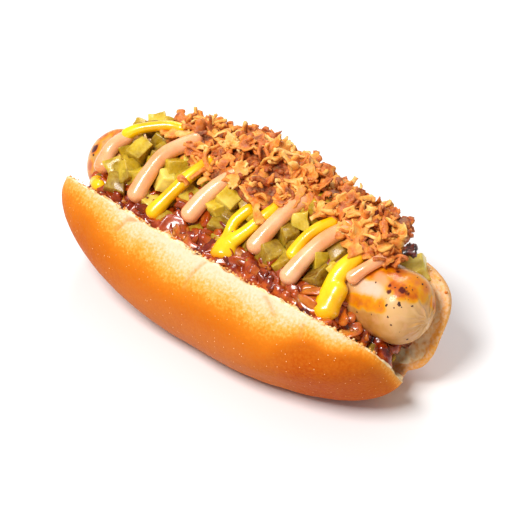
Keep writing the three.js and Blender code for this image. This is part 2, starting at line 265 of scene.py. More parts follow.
def set_attribute(piece, name, values):
    layer = piece.data.attributes.new(name, "FLOAT", "POINT")
    layer.data.foreach_set("value", values)


class Route:
    """A smooth curve through points, with place and direction by share of its length."""

    STEPS = 24

    def __init__(self, points):
        p = [Vector(q) for q in points]
        p = [2 * p[0] - p[1], *p, 2 * p[-1] - p[-2]]
        self.places = []
        for a, b, c, d in zip(p, p[1:], p[2:], p[3:]):
            for i in range(self.STEPS):
                t = i / self.STEPS
                bend = (2 * a - 5 * b + 4 * c - d) * t * t + (3 * b - a - 3 * c + d) * t**3
                self.places.append((2 * b + (c - a) * t + bend) / 2)
        self.places.append(p[-2])
        self.reach = [0.0]
        for a, b in zip(self.places, self.places[1:]):
            self.reach.append(self.reach[-1] + (b - a).length)
        self.length = self.reach[-1]

    def at(self, share):
        goal = clamp(share) * self.length
        i = next(k for k in range(1, len(self.reach)) if self.reach[k] >= goal - 1e-9)
        a, b = self.places[i - 1], self.places[i]
        t = (goal - self.reach[i - 1]) / (self.reach[i] - self.reach[i - 1])
        before = self.places[max(0, i - 2)]
        after = self.places[min(len(self.places) - 1, i + 1)]
        direction = (b - before).lerp(after - a, t).normalized()
        return a.lerp(b, t), direction


def strand(bm, route, radius_at, across, cap, sides, rings, cap_share_of_rings=0.25):
    """A round-ended strand along a route, from a sphere whose poles become its two ends."""
    cap_share = min(0.4, cap / route.length)
    stations = {}
    for v in add_copy(bm, sphere(sides, rings)):
        ring = round(math.acos(clamp(v.co.z, -1, 1)) / math.pi * rings)
        if ring not in stations:
            part = ring / rings
            from_end = min(part, 1 - part)
            share = mix(
                cap_share,
                1 - cap_share,
                (part - cap_share_of_rings) / (1 - 2 * cap_share_of_rings),
            )
            full = 1.0
            if from_end < cap_share_of_rings:
                lift = from_end / cap_share_of_rings * math.pi / 2
                inset = cap_share * (1 - math.cos(lift))
                share = inset if part < 0.5 else 1 - inset
                full = math.sin(lift)
            centre, direction = route.at(share)
            u = (across - direction * across.dot(direction)).normalized()
            stations[ring] = (centre, u, direction.cross(u), radius_at(share) * full)
        centre, u, w, r = stations[ring]
        turn = math.atan2(v.co.y, v.co.x)
        v.co = centre + u * (r * math.cos(turn)) + w * (r * math.sin(turn))


# ---------- forms that carry one another ----------
def sausage_axis(x):
    t = clamp((x - SAUSAGE_START.x) / (SAUSAGE_END.x - SAUSAGE_START.x))
    middle = 4 * t * (1 - t)
    y = mix(SAUSAGE_START.y, SAUSAGE_END.y, t) - SAUSAGE_BOW * middle
    z = mix(SAUSAGE_START.z, SAUSAGE_END.z, t) - SAUSAGE_SAG * middle
    return Vector((x, y, z))


def from_sausage(p):
    """The sausage's axis beside a place, and the way from it to the place."""
    axis = sausage_axis(p.x)
    return axis, Vector((0, p.y - axis.y, p.z - axis.z))


def pickle_top(x, y):
    drop = PICKLE_END_DROP["left"] * smooth(-x, 52, 66) + PICKLE_END_DROP["right"] * smooth(x, 40, 54)
    return along(PICKLE_PROFILE, y) - drop


def onion_top(x, y):
    return along(ONION_PROFILE, y) + along(ONION_RISE, x)


def relish_top(x, y):
    return along(RELISH_NEAR, x) + 0.34 * (min(y, 0) + 20) - 0.3 * max(0, y - 4)


# ---------- bun ----------
def edge_rise(x):
    end = min(1, abs(x) / (BUN_LENGTH / 2))
    return CUT_HEIGHT / 2 * (1 - (1 - end**END_SQUARENESS) ** (1 / END_SQUARENESS))


def bun_half(bm, half):
    side, thickness = half["side"], half["thickness"]
    sin, cos = math.sin(half["tilt"]), math.cos(half["tilt"])
    for v in add_copy(bm, sphere(160, 72)):
        flat = math.hypot(v.co.x, v.co.y)
        ca, sa = (v.co.x / flat, v.co.y / flat) if flat > 1e-6 else (1, 0)
        n = END_SQUARENESS
        reach = (abs(ca) ** n + abs(sa) ** n) ** (-1 / n) * flat ** (2 / DOME_ROUNDNESS)
        x = BUN_LENGTH / 2 * reach * ca
        end = abs(x) / (BUN_LENGTH / 2)
        h = CUT_HEIGHT / 2 * (1 + reach * sa) + RIM_WAVE * math.sin(x / 9) * max(0, sa)
        taper = 1 - half["end_taper"] * end**4
        w = thickness * taper * max(0, v.co.z) ** (2 / DOME_ROUNDNESS)
        out = half["bulge"] * (h / CUT_HEIGHT) ** 2 * bow(x, BUN_LENGTH / 2)
        v.co = (x, side * (h * sin + w * cos + out), h * cos - w * sin)


def bun_spine(bm):
    for v in add_copy(bm, sphere(96, 48)):
        x = SPINE["length"] / 2 * signed_power(v.co.x, 0.7)
        y = SPINE["y"] * (1 - v.co.x**2) + SPINE["width"] / 2 * v.co.y
        z = SPINE["z"] + 0.9 * edge_rise(x) + SPINE["height"] / 2 * v.co.z
        v.co = (x, y, z)


def place_in_half(half, p):
    """Height along the cut face and distance out of it, of a point."""
    sin, cos = math.sin(half["tilt"]), math.cos(half["tilt"])
    y = half["side"] * p.y
    h = y * sin + p.z * cos
    y -= half["bulge"] * clamp(h / CUT_HEIGHT) ** 2 * bow(p.x, BUN_LENGTH / 2)
    return y * sin + p.z * cos, y * cos - p.z * sin


CREASES = (  # along the skin: places, depth, width
    (((-33, -30.5, 40.6), (-36.5, -31.5, 38.8), (-38, -34.5, 36.3), (-38.9, -35.8, 35.1)), 0.7, 0.75),
    (
        ((6, -29, 41), (4.2, -30.7, 40.2), (2.2, -34.7, 37.1), (0.8, -38.2, 33.6), (0.7, -40.3, 30.9)),
        0.4, 0.7,
    ),
    (((33.6, -30.8, 39.6), (37.6, -32.5, 38.1), (40.6, -34.1, 36.4)), 0.4, 0.75),
    (((53.1, -31.6, 37.2), (54.2, -34.4, 34.2)), 0.3, 0.75),
)


def near_segment(p, a, b):
    t = clamp((p - a).dot(b - a) / (b - a).length_squared)
    return (p - a.lerp(b, t)).length


def crease_at(p):
    """Depth of the nearest crease of the skin at a place."""
    depth = 0.0
    for places, deep, wide in CREASES:
        if abs(p.x - places[0][0]) > 12:
            continue
        points = [Vector(q) for q in places]
        d = min(near_segment(p, a, b) for a, b in zip(points, points[1:]))
        depth = max(depth, deep * math.exp(-((d / wide) ** 2)))
    return depth


def rim_gap(x, h):
    """Distance in from the rim along a cut face."""
    across, up = x / (BUN_LENGTH / 2), h / (CUT_HEIGHT / 2) - 1
    n = END_SQUARENESS
    ratio = max(0.2, (abs(across) ** n + abs(up) ** n) ** (1 / n))
    slope = math.hypot(abs(across) ** (n - 1) / (BUN_LENGTH / 2), abs(up) ** (n - 1) / (CUT_HEIGHT / 2))
    return (1 - ratio) * ratio ** (n - 1) / max(1e-6, slope)


def make_bun(material):
    bm = bmesh.new()
    for half in (THICK_HALF, THIN_HALF):
        bun_half(bm, half)
    bun_spine(bm)
    bun = fuse(closed("brioche_bun", bm), BUN_VOXEL, 2)
    layers = {name: [] for name in ("crumb", "browning", "under", "crease", "soaked")}
    places = []
    for v in bun.data.vertices:
        p = v.co.copy()
        near = place_in_half(THICK_HALF, p)
        far = place_in_half(THIN_HALF, p)
        half, (h, w) = (THICK_HALF, near) if near[1] > far[1] else (THIN_HALF, far)
        inside = 1 - smooth(w, 0.35, 1.1)
        if half is THIN_HALF:
            inside *= smooth(rim_gap(p.x, h) + 0.8 * lumps(p, 2.5, 2), 2.2, 3.6)
        if h < 5:
            inside *= smooth(h, 1, 5)
        share = w / half["thickness"]
        height = (h - CUT_HEIGHT / 2) / (CUT_HEIGHT / 2)
        rim = smooth(h, CUT_HEIGHT - 5, CUT_HEIGHT - 1) * (1 - smooth(w, 0.5, 3.5))
        skin = 0.45 * lumps(p, 26) + 0.2 * lumps(p, 9, 3) + 0.05 * lumps(p, 2.6, 5)
        torn = 0.9 * lumps(p, 7, 7) + 0.6 * lumps(p, 3, 9) + 0.3 * lumps(p, 1.5, 11)
        ragged = 0.7 * lumps(p, 2.2, 13) + 0.5 * lumps(p, 5, 15)
        crease = 0.0
        if half is THICK_HALF and h > 20 and not inside:
            crease = 1.4 * crease_at(p)
        p += v.normal * (mix(skin, torn, inside) + 0.8 * rim * ragged - crease)
        axis, off = from_sausage(p)
        if off.length < SAUSAGE_RADIUS + BUN_CLEARANCE:
            p = axis + off.normalized() * (SAUSAGE_RADIUS + BUN_CLEARANCE)
        p.z = max(-HINGE.z, p.z)
        places.append(p)
        if half is THICK_HALF:
            right = smooth(p.x, 42, 60)
            share = share * (1 + 0.5 * right) + 0.08 * right
            level = 0.7 * clamp(share + 0.24 * smooth(-p.x, 20, 62) + 0.25 * smooth(p.x, 64, 80))
            level += 0.16 * right * smooth(level, 0.3, 0.45)
            pink_side = smooth(share, 0.6, 0.95) * (1 - smooth(p.x, 25, 60))
        else:
            level = 0.18 + 0.42 * share + 0.1 * smooth(-p.x, 40, 75)
            pink_side = smooth(-height, 0.3, 1)
        layers["crumb"].append(inside)
        layers["browning"].append(level)
        # Lighter and pinker towards the underside: partly the crust's own paler side by the hinge, partly
        # painted bounce light from the floor.
        layers["under"].append(pink_side)
        layers["crease"].append(clamp(crease * 2))
        # Crumb near the sausage: partly sauce-soaked, partly painted shade cast by the sausage.
        layers["soaked"].append(inside * (1 - smooth(off.length, 15, 27)))
    for v, p in zip(bun.data.vertices, places):
        v.co = p
    for name, values in layers.items():
        set_attribute(bun, name, values)
    return finished(bun, material, ["bun"])


def rim_place(half, x, w):
    """A place by the rim of a half, a given distance out of its cut face."""
    sin, cos = math.sin(half["tilt"]), math.cos(half["tilt"])
    h = CUT_HEIGHT - edge_rise(x) + RIM_WAVE * math.sin(x / 9)
    y = half["side"] * (h * sin + w * cos + half["bulge"] * bow(x, BUN_LENGTH / 2))
    return Vector((x, y, h * cos - w * sin))


BALL = template("ball", lambda bm: bmesh.ops.create_icosphere(bm, subdivisions=1, radius=1))
ROUND_BALL = template("round_ball", lambda bm: bmesh.ops.create_icosphere(bm, subdivisions=2, radius=1))


def random_turn(chance):
    return Euler([chance.uniform(-3.1, 3.1) for _ in range(3)])


def random_lie(chance, tilt, spin):
    """Tilted by up to an angle, and spun by up to another."""
    return Euler((chance.uniform(-tilt, tilt), chance.uniform(-tilt, tilt), chance.uniform(0, spin)))


def make_rim_crumbs(material):
    chance = random.Random(14)
    bm = bmesh.new()
    tint_layer = bm.verts.layers.float.new("tint")
    for half, count in RIM_CRUMBS:
        for _ in range(count):
            x = chance.uniform(-78, 80)
            w = chance.uniform(-0.9, 0.35)
            p = rim_place(half, x, w) + Vector((0, 0, chance.uniform(-1.1, -0.1)))
            r = chance.uniform(0.2, 0.6)
            radii = [r * chance.uniform(0.5, 1.5) for _ in range(3)]
            tint = chance.random() * smooth(0.6 - w, 0, 1)
            for v in add_ball(bm, BALL, p, radii, random_turn(chance)):
                v[tint_layer] = tint
    finished(new_object("rim_crumbs", bm), material, ())


# ---------- sausage ----------
GRILL_MARKS = (  # place on the skin, reach, strength
    ((59.7, 0.3, 46.6), 5, 0.9), ((63.3, 4.1, 47.2), 6, 1.0), ((68.6, 5.2, 47.6), 7, 1.0),
    ((70, 0.2, 47), 5, 1.0), ((74, -0.4, 46.3), 5, 1.0), ((76.8, 2, 45.3), 5, 0.95),
    ((73.3, 7, 47.1), 7, 0.95), ((77.2, 9.4, 44), 6, 0.95), ((80.3, 11.4, 36.4), 5, 0.9),
    ((79.5, 6, 43), 4.5, 0.8), ((81, 9, 39), 4, 0.8), ((60.5, -9.4, 38.5), 4.5, 0.85),
    ((65, -8.8, 39.6), 4.5, 0.8), ((69.5, -8, 40.6), 4, 0.7), ((57, -9, 38), 4, 0.7),
    ((70, -12.5, 29), 5, 0.6), ((60, -13, 29), 5, 0.6), ((-78.7, -7.1, 38.7), 5, 1.0),
    ((-77.6, -11.3, 33.1), 4.5, 0.9), ((-79.3, -1.7, 41), 5, 0.9), ((-75.6, -12.3, 29), 4, 0.8),
    ((-76, 2, 43), 5, 0.8),
)
CHAR_MARKS = (
    ((74.1, -0.4, 46.3), 2, 1.0), ((75.8, 0.2, 45.7), 1.6, 0.9), ((70.3, -3.4, 45.2), 1.7, 0.8),
    ((69, -1.5, 46.3), 1.4, 0.7), ((66, 6, 47.4), 1.6, 0.6), ((-78.7, -7.1, 38.7), 2.4, 1.0),
)
BARE_MARKS = (((63.5, -0.4, 46.6), 2.8, 1.0), ((66.2, -1.3, 46.3), 2, 0.9))
# The pale marks are painted highlight on the upper left of the sausage's right end.
PALE_MARKS = (((61.5, -5.4, 43.7), 5, 1.0), ((65.5, -5, 44), 3.6, 0.9))
PEPPER = (
    (61.2, -10.1, 34.7), (67.6, -9.6, 36.9), (72.2, -7, 42.1), (75.9, -4.6, 42.8), (74.4, -8.3, 38.7),
    (75.8, -8.3, 35.8), (78.2, -6.4, 32.6), (79.2, -3.1, 27.9), (72.4, -9.3, 30.8), (77.9, -6.2, 30.6),
    (57.2, -10.3, 30.5), (69.8, -9.8, 34.4), (79.2, -1, 42), (75.6, -4, 43.2), (-77, -9, 37),
)


def on_skin(p, sink):
    """The place on the sausage's skin nearest a point, sunk by a little."""
    axis = sausage_axis(p.x)
    core = Vector((clamp(p.x, SAUSAGE_START.x, SAUSAGE_END.x), axis.y, axis.z))
    out = p - core
    out.x *= SAUSAGE_RADIUS / SAUSAGE_CAP
    out = out.normalized() * (SAUSAGE_RADIUS - sink)
    out.x *= SAUSAGE_CAP / SAUSAGE_RADIUS
    return core + out


def mark_level(marks, p):
    level = 0.0
    for place, reach, strength in marks:
        d = (p - Vector(place)).length / reach
        if d < 1.2:
            level = max(level, strength * (1 - smooth(d, 0.3, 1.2)))
    return level


def make_sausage(material, pepper_material):
    tips = (SAUSAGE_START.x - SAUSAGE_CAP, SAUSAGE_END.x + SAUSAGE_CAP)
    route = Route([sausage_axis(mix(*tips, i / 8)) for i in range(9)])
    chance = random.Random(4)
    folds = [
        [(chance.uniform(0, 6.283), chance.uniform(8, 15), chance.uniform(0.2, 0.6)) for _ in range(20)]
        for _ in range(2)
    ]

    def pucker(p):
        """The casing is drawn together at each end, in creases that run out from the tip."""
        axis = sausage_axis(p.x)
        r = math.hypot(p.y - axis.y, p.z - axis.z)
        turn = math.atan2(p.z - axis.z, p.y - axis.y)
        dent = 0.0
        for angle, reach, depth in folds[p.x > 0]:
            if math.cos(turn - angle) > 0:
                d = r * math.sin(turn - angle) + 0.3 * math.sin(r * 1.1 + angle * 5)
                fade = smooth(r, 0.4, 2.5) * (1 - smooth(r, reach * 0.4, reach))
                dent = max(dent, depth * fade * math.exp(-((d / (0.3 + 0.04 * r)) ** 2)))
        return dent + 0.7 * math.exp(-((r / 1.8) ** 2))

    bm = bmesh.new()
    strand(bm, route, lambda t: SAUSAGE_RADIUS, Vector((0, 1, 0)), SAUSAGE_CAP, 200, 210, 0.33)
    bmesh.ops.recalc_face_normals(bm, faces=bm.faces)
    bm.normal_update()
    for v in bm.verts:
        dent = pucker(v.co) if abs(v.co.x) > 68 else 0
        v.co -= v.normal * (0.25 + dent + 0.3 * lumps(v.co, 13) + 0.1 * lumps(v.co, 5, 4))
    sausage = new_object("grilled_sausage", bm)
    places = [v.co.copy() for v in sausage.data.vertices]
    for name, marks in (
        ("grill", GRILL_MARKS), ("char", CHAR_MARKS), ("bare", BARE_MARKS), ("pale", PALE_MARKS),
    ):
        set_attribute(sausage, name, [mark_level(marks, p) for p in places])
    finished(sausage, material, ["sausage"])

    bm = bmesh.new()
    flakes = [Vector(p) for p in PEPPER]
    for _ in range(40):
        x = chance.uniform(55, 80)
        axis = sausage_axis(x)
        turn = chance.uniform(-2.6, 0.6)
        flakes.append(axis + Vector((0, math.sin(turn), math.cos(turn))) * 14)
    for i, p in enumerate(flakes):
        r = chance.uniform(0.6, 0.85) if i < len(PEPPER) else chance.uniform(0.22, 0.45)
        radii = [r * chance.uniform(0.6, 1.3) for _ in range(3)]
        add_ball(bm, BALL, on_skin(p, 0.1), radii, random_turn(chance))
    finished(new_object("pepper_flakes", bm), pepper_material, ())


# ---------- sauces ----------
def make_stroke(name, strokes, usual_radius, material, node, seed):
    bm = bmesh.new()
    for i, stroke in enumerate(strokes):
        r = stroke.get("radius", usual_radius)
        bulb = stroke.get("bulb", 1.12)

        def radius_at(t, r=r, bulb=bulb, i=i):
            wave = 1 + 0.05 * noise.noise(Vector((t * 5, seed + i, 0)))
            return r * mix(bulb, 0.94, smooth(t, 0.08, 0.45)) * wave

        route = Route(stroke["points"])
        strand(bm, route, radius_at, Vector((1, 0, 0)), r, 32, 72)
    piece = closed(name, bm)
    if len(strokes) > 1:
        fuse(piece, SAUCE_VOXEL, SAUCE_SMOOTHING)
    return finished(piece, material, [node])


# ---------- pickles ----------
def all_routes():
    strokes = [*PINK_STROKES, *MUSTARD_STROKES, MUSTARD_FORK]
    return [
        [Route(s["points"]).at(i / 24)[0] for i in range(25)] for s in strokes
    ]


def sink_below(routes, p, clear):
    """Lowers a point until it is clear of the sauces above it."""
    for places in routes:
        for q in places:
            flat = math.hypot(p.x - q.x, p.y - q.y)
            if flat < clear:
                p.z = min(p.z, q.z - math.sqrt(clear**2 - flat**2))
    return p


def build_die(bm, edge_offset, cuts):
    bmesh.ops.create_cube(bm, size=1)
    bmesh.ops.bevel(
        bm, geom=bm.edges[:], offset=edge_offset, segments=2, profile=0.5, affect="EDGES", material=-1
    )
    wide = [e for e in bm.edges if e.calc_length() > 0.4]
    bmesh.ops.subdivide_edges(bm, edges=wide, cuts=cuts, use_grid_fill=True)


DIE = template("die", lambda bm: build_die(bm, 0.07, 1))
FINE_DIE = template("fine_die", lambda bm: build_die(bm, 0.05, 4))


def pickle_die(bm, shape, centre, edge, chance, tint_layer, tint, turn=None):
    """One cut cube: skewed, turned, and uneven on its faces."""
    size = [edge * chance.uniform(0.78, 1.15) for _ in range(3)]
    turn = turn or random_lie(chance, 0.6, 3.1)
    turn = turn.to_matrix()
    skews = [Vector([chance.uniform(-0.32, 0.32) for _ in range(3)]) for _ in range(3)]
    for v in add_copy(bm, shape):
        out = v.co.normalized()
        q = v.co + skews[0] * v.co.x * v.co.y + skews[1] * v.co.y * v.co.z + skews[2] * v.co.z * v.co.x
        q = Vector([c * k for c, k in zip(q, size)])
        q += out * (0.8 * lumps(q + centre, 3.4) + 0.24 * lumps(q + centre, 1.3, 3))
        v.co = centre + turn @ q
        v[tint_layer] = tint


PLACED_DICE = (  # centre, edge
    ((-65.2, -2.1, 41.7), 7), ((-55.6, -3.9, 45.1), 8), ((-61.2, -13, 38.9), 7),
    ((-54.9, -12.1, 40.1), 8.5), ((-50.4, -12.2, 40), 6.5), ((-40.3, -1.2, 46.4), 10),
    ((-38.2, -9.2, 42.2), 7.5), ((-41.3, -16.1, 37.2), 8), ((-28.5, -7, 43.5), 8.5),
    ((-15, -7.3, 43.4), 6.5), ((-8.7, -3.4, 45.3), 9), ((-10.5, -8.2, 42.9), 7),
    ((6.3, -2.3, 45.9), 7), ((20.6, 3.3, 47.7), 7.5), ((24.4, 11.5, 48.3), 10),
    ((15, 3.9, 47.8), 7), ((19.9, -12.9, 39.5), 9), ((25.3, -12.1, 40.1), 8.5),
    ((32.3, -4.2, 44.9), 7), ((37.9, -5, 44.5), 7.5),
    ((-65, 15, 44.4), 7), ((-69, 8.4, 43.6), 6), ((-58, 15.8, 45), 6.5),
)
RELISH_BITS = (  # bits of pickle in the relish: centre, edge
    ((62, -11, 21.5), 4.2), ((66.5, -8.6, 18.5), 4), ((71.5, -5, 14.5), 4.4), ((57, -14.5, 25), 3.6),
)


def pickle_tint(p, tint):
    """The dice down by the relish are steeped in it and darker."""
    return clamp(tint - 0.85 * smooth(-p.y, 7, 14) * smooth(p.x, -5, 22) - 0.3 * smooth(-p.x, 42, 56))


def make_pickles(material):
    bm = bmesh.new()
    tint_layer = bm.verts.layers.float.new("tint")
    chance = random.Random(21)
    routes = all_routes()
    taken = []
    for place, edge in PLACED_DICE:
        p = sink_below(routes, Vector(place) + Vector((0, 0, 1.6)), 2.2 + edge * 0.5)
        taken.append(p)
        pickle_die(bm, FINE_DIE, p, edge, chance, tint_layer, pickle_tint(p, chance.uniform(0.6, 1)))
    for tries in range(DICE_TRIES):
        x = chance.uniform(-66, 53)
        y = chance.uniform(-18 if x < 46 else -6, along(ONION_NEAR, x) + 5)
        depth = 1.2 if tries < DICE_TRIES / 2 else 5.5
        p = Vector((x, y, pickle_top(x, y) - depth - chance.uniform(0, 2)))
        edge = PICKLE_EDGE * chance.choice((0.55, 0.75, 0.95, 1.15))
        p = sink_below(routes, p, 2.6 + edge * 0.5)
        if min((p - q).length for q in taken) < DICE_GAP:
            continue
        taken.append(p)
        pickle_die(bm, DIE, p, edge, chance, tint_layer, pickle_tint(p, chance.uniform(0, 0.85)))
    for place, edge in RELISH_BITS:
        pickle_die(bm, FINE_DIE, Vector(place), edge, chance, tint_layer, 0.1)
    finished(closed("diced_pickles", bm), material, ["pickle_dice"])

    bm = bmesh.new()
    tint_layer = bm.verts.layers.float.new("tint")
    turn = Euler((0.3, -0.4, 0.9))
    # Painted light: the die gets a pale tint though the flakes shade it.
    pickle_die(bm, FINE_DIE, PICKLE_AT_END, 8.8, chance, tint_layer, 0.95, turn)
    finished(closed("pickle_die_by_end", bm), material, ["pickle_die_end"])


# ---------- onion relish ----------
def build_plate(bm, long, wide):
    """A plate of edge 1, a given number of faces long and wide, and one face thick."""
    bmesh.ops.create_grid(bm, x_segments=long, y_segments=wide, size=0.5)
    bottom = bmesh.ops.duplicate(bm, geom=bm.verts[:] + bm.edges[:] + bm.faces[:])
    for item in bottom["geom"]:
        if isinstance(item, bmesh.types.BMVert):
            item.co.z = -0.5
    flip = [item for item in bottom["geom"] if isinstance(item, bmesh.types.BMFace)]
    bmesh.ops.reverse_faces(bm, faces=flip)
    for v in bm.verts:
        if v.co.z > -0.25:
            v.co.z = 0.5
    bmesh.ops.bridge_loops(bm, edges=[e for e in bm.edges if e.is_boundary])
    bmesh.ops.recalc_face_normals(bm, faces=bm.faces)


COARSE_PLATE = template("coarse_plate", lambda bm: build_plate(bm, 8, 3))
FINE_PLATE = template("fine_plate", lambda bm: build_plate(bm, 14, 6))
STRING_PLATE = template("string_plate", lambda bm: build_plate(bm, 13, 2))


RELISH_CHUNKS = (((43.3, 17.4, 52.5), 7.5), ((-18, -17, 35.5), 7), ((-12, -17, 36), 6), ((22, -15.5, 37), 6))
STRAY_ONIONS = (  # on the sauces and on the sausage's left end
    (-72.1, -1, 45.6), (-47.9, 5.9, 54.4), (-43.4, 8.4, 55), (-43.4, 12.4, 55.3), (-28.4, -8.1, 50),
    (-24.4, -1.6, 52.6), (-20.4, -4.2, 51.4), (-23.3, 8, 56), (-6.5, 3.3, 55), (4.9, -1.9, 54),
    (8.7, -7.7, 51.5), (-1.7, -2, 53.6), (28.9, 6.2, 54.6), (48.6, 0.6, 53), (41.6, 1.8, 55),
    (53.6, 2.2, 52), (54.3, 7.1, 52.8), (-14.5, 1, 54), (-2, 4.5, 56),
)
BURNT_BITS = ((64.9, 14.9, 51.6), (65.5, 13.5, 51.6))
OPEN_SIDE = Vector((0.523, -0.575, 0.629))  # the side to which the pieces below lie open
KEPT_CLEAR = ((PICKLE_AT_END, 7.5), (Vector(BURNT_BITS[0]), 4.2))  # the gap around each


def onion_strip(bm, plate, centre, chance, length, width, thickness, lie, tint_layer, tint, curl=1.6):
    """A curled strip of onion: a plate bent along its length, cupped across and twisted."""
    bend = chance.uniform(-1, 1) * curl or 0.01
    twist = chance.uniform(-0.9, 0.9)
    cup = chance.uniform(-1.1, 1.1)
    phase = chance.uniform(0, 50)
    taper = chance.uniform(0.1, 0.6)
    sway = chance.uniform(-0.12, 0.12) * length
    turn = lie.to_matrix()
    for v in add_copy(bm, plate):
        s, t, lift = v.co
        half = width * (1 - 2 * taper * s * s) * (1 + 0.2 * math.sin(8 * s + phase) + 0.12 * math.sin(21 * s))
        across = t * half
        up = lift * thickness * (1 - 0.35 * (2 * t) ** 4) + cup * across * across / width
        side = twist * s
        y = across * math.cos(side) - up * math.sin(side) + sway * math.sin(5 * s + phase)
        up = across * math.sin(side) + up * math.cos(side)
        angle = bend * s
        radius = length / bend
        x = (radius - up) * math.sin(angle)
        z = radius - (radius - up) * math.cos(angle)
        v.co = centre + turn @ Vector((x, y, z))
        # The rim of each strip is painted lighter: a painted highlight along its edges.
        v[tint_layer] = tint + 0.3 * lumps(v.co, 3) - 0.25 * smooth(max(abs(2 * s), abs(2 * t)), 0.6, 1)


def make_relish(jam_material, onion_material):
    chance = random.Random(8)
    bm = bmesh.new()
    for x in range(-70, 71, 4):
        near = -0.62 * along(RELISH_NEAR, x)
        y = near
        while y < 8:
            p = Vector((x + chance.uniform(-1.5, 1.5), y + chance.uniform(-1.5, 1.5), 0))
            bed = relish_top(p.x, p.y) - 3.4
            if -64 < p.x < 54 and p.y > -16:
                bed = min(bed, pickle_top(p.x, p.y) - 9)
            p.z = max(LOWEST_RELISH, bed + chance.uniform(-1, 1.3))
            size = chance.uniform(2.8, 5)
            stretch = (chance.uniform(0.9, 1.7), chance.uniform(0.7, 1.1), chance.uniform(0.5, 0.8))
            add_ball(bm, ROUND_BALL, p, [size * k for k in stretch], random_turn(chance))
            y += 4
    for x in range(-58, 59, 6):  # the body under the lumps
        near = along(RELISH_NEAR, x)
        for share in (0.15, 0.5, 0.85):
            z = max(6, near * share - 5)
            add_ball(bm, ROUND_BALL, Vector((x, 0, z)), (5.5, 3 + 0.56 * max(0, z), 6))
    jam = fuse(closed("relish_jam", bm), JAM_VOXEL, 3)
    mesh = jam.data
    places = []
    for v in mesh.vertices:
        p = v.co + v.normal * (0.6 * lumps(v.co, 2.6) + 0.25 * lumps(v.co, 1.2, 3))
        axis, off = from_sausage(p)
        if off.length < SAUSAGE_RADIUS + JAM_CLEARANCE and off.z < JAM_LIFTED_BELOW:
            p = axis + off.normalized() * (SAUSAGE_RADIUS + JAM_CLEARANCE)
        near = place_in_half(THICK_HALF, p)
        if near[1] > 0 and near[0] < CUT_HEIGHT:
            p += Vector((0, math.cos(THICK_HALF["tilt"]), math.sin(THICK_HALF["tilt"]))) * near[1]
        places.append(p)
    for v, p in zip(mesh.vertices, places):
        v.co = p
    finished(jam, jam_material, ["onion_relish"])

    bm = bmesh.new()
    layer = bm.verts.layers.float.new("tint")
    for _ in range(RELISH_STRIPS):
        x = chance.uniform(-70, 66)
        near = -0.6 * along(RELISH_NEAR, x)
        p = Vector((x, chance.uniform(near, -9), 0))
        p.z = relish_top(p.x, p.y) - 0.7 + chance.uniform(-0.8, 1)
        lie = Euler((chance.uniform(0.2, 1.0), chance.uniform(-0.4, 0.4), chance.uniform(-0.9, 1.4)))
        size = (chance.uniform(7, 15), chance.uniform(3.2, 6), chance.uniform(1.6, 2.6))
        tint = clamp(chance.random() + 0.7 * smooth(x, 30, 60))
        onion_strip(bm, COARSE_PLATE, p, chance, *size, lie, layer, tint)
    for place, size in RELISH_CHUNKS:
        lie = random_lie(chance, 0.5, 3)
        for lift in (0, 1.6):
            p = Vector(place) + Vector((chance.uniform(-1, 1), chance.uniform(-1, 1), lift))
            onion_strip(bm, COARSE_PLATE, p, chance, size, size * 0.6, 2, lie, layer, 0.1)
    strips = new_object("relish_onions", bm)
    soften = strips.modifiers.new("soften", "SUBSURF")
    soften.levels = soften.render_levels = 1
    apply_modifiers(strips)
    finished(strips, onion_material, ())


# ---------- fried onions ----------
def onion_piece(bm, kind, p, chance, tilt, layer, tint, plate=COARSE_PLATE):
    """A flake, a string or a crumb of fried onion."""
    lie = random_lie(chance, tilt, 6.3)
    if kind == "flake":
        size = (chance.uniform(5, 10), chance.uniform(3.4, 6.2), chance.uniform(0.8, 1.3))
        onion_strip(bm, plate, p, chance, *size, lie, layer, tint, 2.2)
    elif kind == "string":
        size = (chance.uniform(7, 14), chance.uniform(1.6, 2.8), chance.uniform(1, 1.5))
        onion_strip(bm, STRING_PLATE, p, chance, *size, lie, layer, tint, 3)
    else:
        r = chance.uniform(0.8, 1.9)
        for v in add_ball(bm, BALL, p, [r * chance.uniform(0.6, 1.4) for _ in range(3)], lie):
            v[layer] = tint


